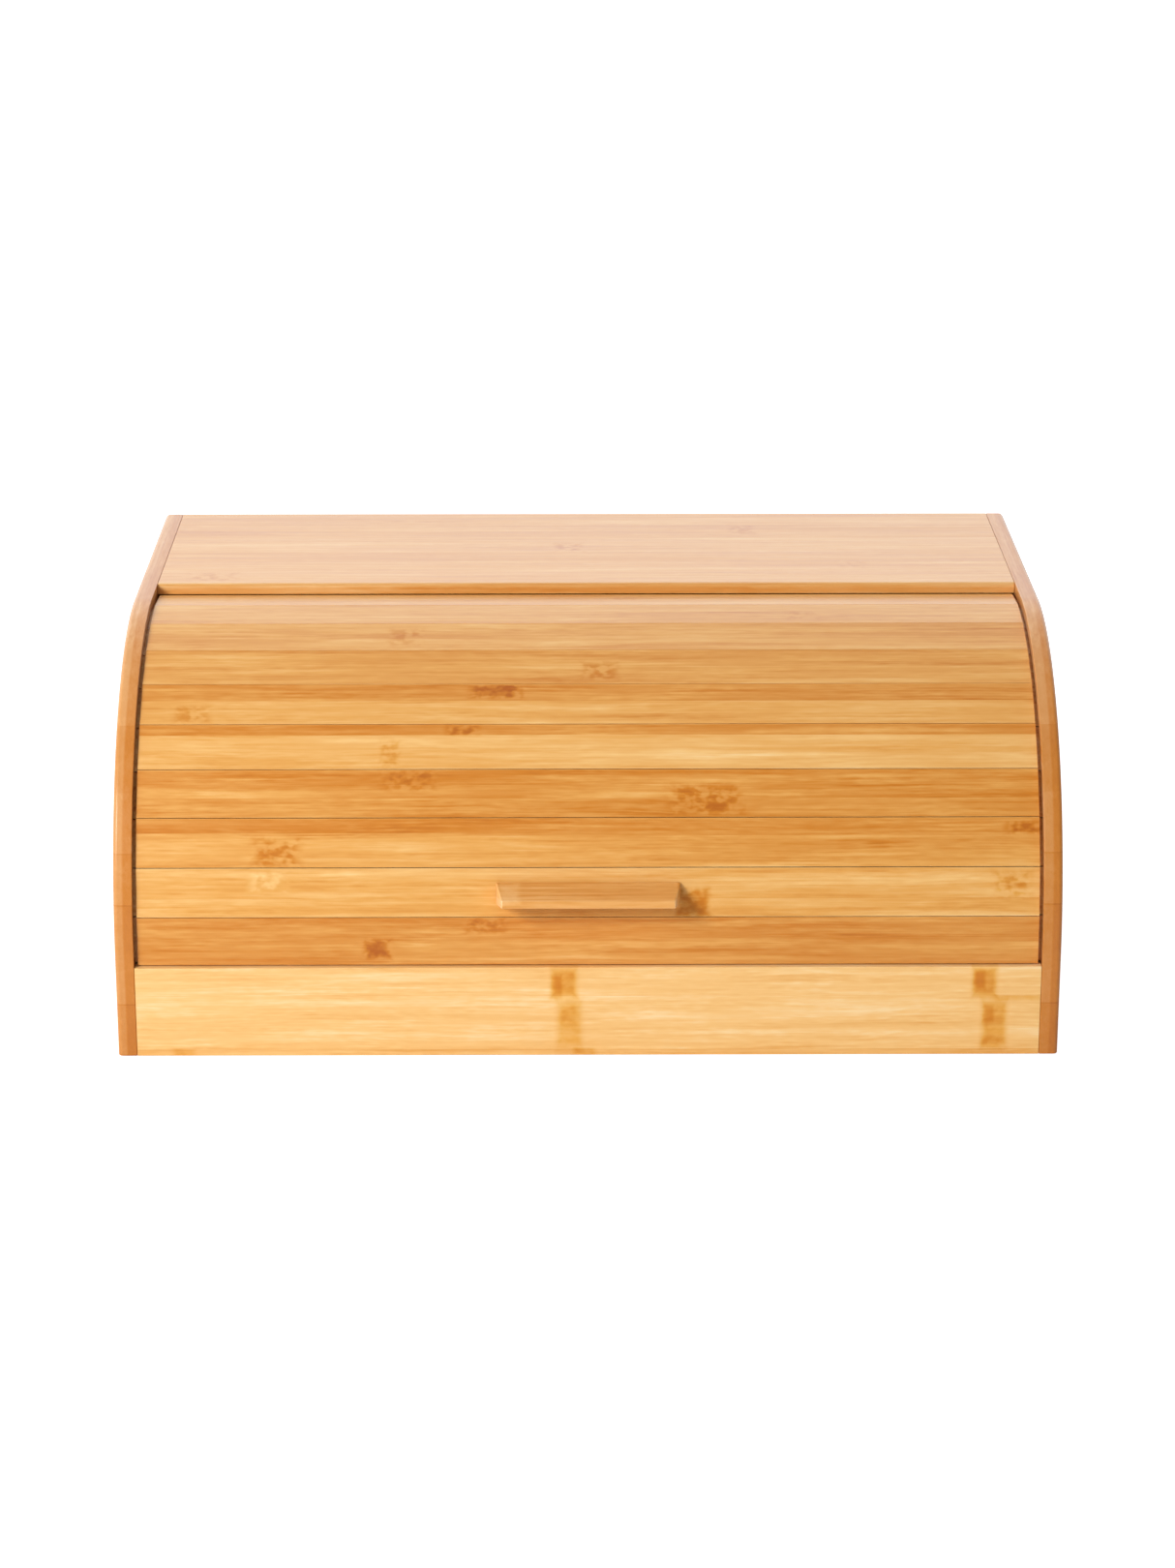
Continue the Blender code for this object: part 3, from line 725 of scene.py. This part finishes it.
# Strips and knuckles of each slat, from the rail up: where each strip starts across the slat and its
# tone, then the knuckles. The first strip starts at the slat's foot
FOOT = -10.4
SLAT_WOOD = [
    ([(FOOT, 0.56), (1.5, 0.53)],
     [(-43.6, 6.9, 10.0, 4.0, 0.6), (-89.0, -3.5, 6.4, 4.8, 1.2)]),
    ([(FOOT, 0.67), (-2.5, 0.69)],
     # The knuckle at 44 mm, beside the handle's right end, is partly a real knuckle and partly a painted
     # shadow of the handle
     [(-135.0, 4.6, 9.0, 5.0, -0.7), (179.0, 3.0, 9.0, 6.5, 0.7), (44.0, -4.4, 8.0, 6.8, 1.2)]),
    ([(FOOT, 0.62), (3.0, 0.57), (4.2, 0.51)],
     [(-131.4, -4.2, 11.5, 7.0, 0.78), (184.0, 6.2, 9.0, 3.4, 0.8)]),
    ([(FOOT, 0.55), (-2.0, 0.54), (4.0, 0.51)],
     [(-75.7, 5.7, 13.0, 5.0, 0.6), (50.0, -2.9, 17.0, 7.2, 0.78)]),
    ([(FOOT, 0.71), (5.4, 0.52)],
     [(-53.0, 7.6, 8.0, 2.8, 0.75), (-84.0, -3.7, 5.0, 8.0, 0.6)]),
    ([(FOOT, 0.67), (1.7, 0.55)],
     [(-38.9, 6.6, 12.0, 3.8, 1.15), (-168.6, -5.2, 9.0, 5.0, 0.6)]),
    ([(FOOT, 0.63), (0.5, 0.61)],
     [(5.3, -2.6, 9.0, 6.0, 0.7)]),
    ([(FOOT, 0.63), (-1.5, 0.61)],
     [(-78.6, 0.0, 9.0, 8.0, 0.5)]),
    ([(FOOT, 0.62), (3.0, 0.64)],
     [(95.0, -2.0, 8.0, 5.0, 0.4)]),
    ([(FOOT, 0.62), (-4.0, 0.60)],
     [(17.0, 2.0, 6.0, 4.0, 0.5)]),
    ([(FOOT, 0.60), (2.0, 0.57)],
     [(-120.0, 1.0, 8.0, 6.0, 0.4)]),
]


def slat_shape():
    """A slat at the front, upright, narrower behind, with a tongue behind a rabbet on each end."""
    half = SLAT_WIDTH / 2
    shape = block((-SHOULDER, -SLAT_FACE, -half), (SHOULDER, -SLAT_BACK, half))
    behind = [vert for vert in shape.verts if vert.co.y > -SLAT_FACE + SLAT_THICK / 2]
    bmesh.ops.scale(shape, vec=(1.0, 1.0, 1.0 - SLAT_TAPER / half), verts=behind)
    ends = [face for face in shape.faces if abs(face.normal.x) > 0.9]
    bmesh.ops.inset_individual(shape, faces=ends, thickness=TONGUE_INSET, use_even_offset=True)
    for vert in {vert for face in ends for vert in face.verts}:
        vert.co.y = max(vert.co.y, -TONGUE_FACE)
    bmesh.ops.inset_individual(shape, faces=ends, thickness=0.0, depth=TONGUE_LENGTH)
    return ease(shape, SLAT_EASE)


def screw_holes(start, end):
    """Holes for the handle's screws in a piece that stands upright at the front."""
    holes = []
    for sign in (-1, 1):
        hole = rod(SCREW_SHANK_RADIUS + HOLE_CLEARANCE, start, end, HOLE_SIDES)
        quarter_turn = Matrix.Rotation(-math.pi / 2, 3, "Z")
        bmesh.ops.rotate(hole, cent=(0, 0, 0), matrix=quarter_turn, verts=hole.verts)
        bmesh.ops.translate(hole, vec=(sign * SCREW_X, 0.0, SCREW_DROP), verts=hole.verts)
        holes.append(hole)
    return holes


def slats():
    for number, (strips, marks) in enumerate(SLAT_WOOD, 1):
        node = f"slat_{number:02d}"
        mesh = mesh_of(node, slat_shape())
        if number == HANDLE_SLAT:
            mesh = carve(mesh, screw_holes(CANVAS_BACK, HANDLE_ROOT))
        centre = Vector((0.0, -SLAT_FACE, 0.0)) + SLAT_GRAIN_STEP * number
        moved = [(along - centre.x / MM, across, *rest) for along, across, *rest in marks]
        # The slats' long edges are painted paler: painted light that lifts the shade in the joints between
        # slats
        wood = bamboo("bamboo_" + node, centre, SLAT_WIDTH / 2 / MM, strips, moved, rim_and_painted_joint_light=-0.08)
        angle = DOOR_START + (number - 0.5) * PITCH
        piece(node + "_wood", mesh, wood, "door", [node], AXIS, -angle)


def handle():
    """A wedge that thins and narrows from its root on the slat to a low lip in front."""
    half = HANDLE_LENGTH / 2
    tip = HANDLE_ROOT + HANDLE_PROUD
    shape = block((-half, -tip, HANDLE_LOW), (half, -HANDLE_ROOT, HANDLE_HIGH))
    for vert in shape.verts:
        if vert.co.y < -HANDLE_ROOT - HANDLE_PROUD / 2:
            vert.co.x *= HANDLE_TIP_LENGTH / HANDLE_LENGTH
            vert.co.z = min(vert.co.z, HANDLE_LOW + HANDLE_LIP)
    mesh = carve(mesh_of("handle", ease(shape, HANDLE_EASE, 5)),
                 screw_holes(HANDLE_ROOT - 2 * TOUCH, HANDLE_ROOT + SCREW_BITE + TOUCH))
    # The first mark is a paler patch at the top left; the knuckle on the right end is darker than the one
    # on the left, partly painted shade on the end that faces away from the lamp
    # The paler lower strip is the lip that faces the front: a painted highlight. The sawn ends are painted
    # paler than end grain: a painted highlight on the left end that faces the lamp, and painted light on
    # the shaded right end
    wood = bamboo("bamboo_handle", (0.0, -HANDLE_ROOT, 0.0), 5.0, [(-5.0, 0.75), (-1.4, 0.63)],
                  [(-33.0, 0.5, 5.0, 4.2, -0.6), (40.2, -1.0, 3.0, 9.0, 1.0), (-41.0, -1.0, 3.0, 9.0, 0.6)],
                  tint=(1.0, 0.96, 1.05), rim_and_painted_joint_light=0.0, band=0.14, uneven=0.05, end_grain_and_painted_end_light=-0.18)
    piece("handle_wood", mesh, wood, "door", ["handle"], AXIS, -HANDLE_ANGLE)


def screw_profile(length):
    """Half the section of a screw with a domed head and a threaded shank, from the crown to the tip."""
    dome = []
    for step in range(11):
        turn = math.radians(9 * step)
        rise = SCREW_RIM_SHARE + (1 - SCREW_RIM_SHARE) * math.cos(turn)
        dome.append((SCREW_HEAD_RADIUS * math.sin(turn), SCREW_HEAD_HEIGHT * rise))
    profile = [(0.0, SCREW_HEAD_HEIGHT), *dome[1:], (SCREW_HEAD_RADIUS, 0.0), (SCREW_SHANK_RADIUS, 0.0)]
    depth = SCREW_PLAIN_SHANK
    while depth < length - SCREW_POINT:
        profile += [(SCREW_ROOT_RADIUS, -depth), (SCREW_SHANK_RADIUS, -depth - SCREW_THREAD / 2)]
        depth += SCREW_THREAD
    return profile + [(SCREW_ROOT_RADIUS, SCREW_POINT - length), (0.0, -length)]


def cross_recess():
    """The two crossing slots that are cut into a screw's head."""
    slots = []
    for along, across in ((CROSS_LENGTH, CROSS_WIDTH), (CROSS_WIDTH, CROSS_LENGTH)):
        low = (-along / 2, -across / 2, CROSS_FLOOR)
        slots.append(block(low, (along / 2, across / 2, SCREW_HEAD_HEIGHT * 1.5)))
    return slots


def screws(material):
    """Screws from behind the canvas, through the slat and into the handle, with a cross recess."""
    length = 3 * TOUCH + CANVAS_THICK + SLAT_THICK + SCREW_BITE
    head_y, head_z = polar(CANVAS_BACK - TOUCH, HANDLE_ANGLE)
    seat = AXIS + Vector((0.0, head_y + SCREW_DROP * math.sin(HANDLE_ANGLE),
                          head_z + SCREW_DROP * math.cos(HANDLE_ANGLE)))
    for side, sign in (("left", -1), ("right", 1)):
        mesh = carve(mesh_of("handle_screw", turned(screw_profile(length), SCREW_SIDES)), cross_recess())
        node = "handle_screw_" + side
        piece(node + "_steel", mesh, material, "door", [node],
              seat + Vector((sign * SCREW_X, 0.0, 0.0)), -(math.pi / 2 + HANDLE_ANGLE))


def canvas_rows():
    """The angle, the radius and the length of cloth so far at each row of points, from the rail up."""
    trim = CANVAS_TRIM / CANVAS_FACE
    start, end = DOOR_START + trim, DOOR_START + SLATS * PITCH - trim
    count = SLATS * CANVAS_ROWS_PER_SLAT
    rows = []
    length, last = 0.0, None
    for row in range(count + 1):
        angle = start + (end - start) * row / count
        in_slat = (angle - DOOR_START) % PITCH - PITCH / 2
        radius = (CANVAS_FACE + CANVAS_BACK) / 2 / math.cos(in_slat)
        point = polar(radius, angle)
        length += math.dist(point, last) if last else 0.0
        last = point
        rows.append((angle, radius, length))
    return rows


def canvas_mesh(low_x, high_x):
    """A grid of cloth between two places in X, with its flat coordinates and a slight ripple."""
    shape = bmesh.new()
    flat = shape.loops.layers.uv.new("Cloth")
    rows = canvas_rows()
    grid = []
    for row, (angle, radius, _) in enumerate(rows):
        line = []
        for column in range(CANVAS_COLUMNS + 1):
            x = low_x + (high_x - low_x) * column / CANVAS_COLUMNS
            ripple = CANVAS_RIPPLE * math.sin(x * 310 + row * 1.7) * math.cos(x * 97 - row * 0.9)
            line.append(shape.verts.new((x, *polar(radius - ripple, angle))))
        grid.append(line)
    for row in range(len(rows) - 1):
        for column in range(CANVAS_COLUMNS):
            corners = [(row, column), (row, column + 1), (row + 1, column + 1), (row + 1, column)]
            face = shape.faces.new([grid[r][c] for r, c in corners])
            for loop, (r, c) in zip(face.loops, corners):
                loop[flat].uv = (grid[r][c].co.x, rows[r][2])
    bmesh.ops.recalc_face_normals(shape, faces=shape.faces)
    return mesh_of("canvas", shape)


def canvas(material):
    """One sheet of cloth glued flat behind each slat, with a soft fold at each joint between slats."""
    low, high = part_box("canvas_backing")
    cloth = piece("canvas_cloth", canvas_mesh(low.x, high.x), material, "door",
                  ["canvas_backing"], AXIS)
    thick = cloth.modifiers.new("thickness", "SOLIDIFY")
    thick.thickness = CANVAS_SHOWN
    thick.offset = 0.0
    length = canvas_rows()[-1][2]


# Studio

CAMERA_PLACE = (-0.0097, -1.664, 0.632)
CAMERA_PITCH = math.radians(18.402)
CAMERA_YAW = math.radians(-0.349)
CAMERA_LENS = 89.21
LIT_PLACE = Vector((0.0, 0.0, 0.08))
FLOOR_HALF_SIZE = 9.0
FLOOR_GLOW_ON_BOX = 0.10
FLOOR_GLOW_SEEN = 0.75


def camera():
    data = bpy.data.cameras.new("camera")
    data.lens = CAMERA_LENS
    data.sensor_width = 36.0
    made = bpy.data.objects.new("camera", data)
    made.location = CAMERA_PLACE
    made.rotation_euler = (math.pi / 2 - CAMERA_PITCH, 0.0, CAMERA_YAW)
    bpy.context.scene.collection.objects.link(made)
    bpy.context.scene.camera = made


def softbox(name, azimuth, elevation, distance, size, watts, colour=(1.0, 1.0, 1.0)):
    """A square light at an azimuth from the front to the right, aimed at the box."""
    data = bpy.data.lights.new(name, "AREA")
    data.size = size
    data.energy = watts
    data.color = colour
    made = bpy.data.objects.new(name, data)
    a, e = math.radians(azimuth), math.radians(elevation)
    towards = Vector((math.sin(a) * math.cos(e), -math.cos(a) * math.cos(e), math.sin(e)))
    made.location = LIT_PLACE + towards * distance
    made.rotation_euler = towards.to_track_quat("Z", "Y").to_euler()
    made.visible_camera = False
    bpy.context.scene.collection.objects.link(made)


def white_room():
    """A white surround that is brighter behind the box, and plain white where the camera sees it."""
    world = bpy.data.worlds.new("white_room")
    bpy.context.scene.world = world
    world.use_nodes = True
    tree = world.node_tree
    direction = add(tree, "TexCoord").outputs["Generated"]
    back = add(tree, "SeparateXYZ", {0: direction}).outputs["Y"]
    room = spread(tree, back, -0.1, 0.95, 0.28, 1.5, smooth=True)
    seen = add(tree, "LightPath").outputs["Is Camera Ray"]
    strength = add(tree, "Mix", {0: seen, 2: room, 3: 1.0}).outputs[0]
    tree.links.new(strength, tree.nodes["Background"].inputs["Strength"])
    tree.nodes["Background"].inputs["Color"].default_value = (1.0, 1.0, 1.0, 1.0)


def pale_floor():
    """A white sweep, which glows a little so that it reads as white without lighting the box from below."""
    material, tree, shader = new_material("pale_floor", Roughness=0.7, IOR=1.3)
    shader.inputs["Emission Color"].default_value = (1.0, 1.0, 1.0, 1.0)
    shader.inputs["Base Color"].default_value = (0.80, 0.80, 0.80, 1.0)
    seen = add(tree, "LightPath").outputs["Is Camera Ray"]
    glow = add(tree, "Mix", {0: seen, 2: FLOOR_GLOW_ON_BOX, 3: FLOOR_GLOW_SEEN}).outputs[0]
    tree.links.new(glow, shader.inputs["Emission Strength"])
    shape = bmesh.new()
    bmesh.ops.create_grid(shape, x_segments=1, y_segments=1, size=FLOOR_HALF_SIZE)
    mesh = mesh_of("floor", shape)
    mesh.materials.append(material)
    floor = bpy.data.objects.new("floor", mesh)
    floor.location.z = -TOUCH
    bpy.context.scene.collection.objects.link(floor)


def main():
    # On each side panel the half through its thickness that faces the key lamp on the left is painted
    # lighter than the half that faces away: painted light and painted shade
    side_panel("left", -1, painted_light_halves=(0.05, -0.06))
    side_panel("right", 1, painted_light_halves=(0.0, -0.09))
    top_panel()
    front_rail()
    inner_boards()
    dowels(raw_beech())
    slats()
    handle()
    screws(zinc_steel())
    canvas(woven_canvas())
    camera()
    softbox("key", -40.0, 27.0, 2.2, 0.7, 35.0, (1.0, 0.985, 0.96))
    softbox("overhead", 10.0, 80.0, 2.0, 1.2, 2.0)
    white_room()
    pale_floor()
    bpy.context.scene.view_settings.view_transform = "Standard"


main()
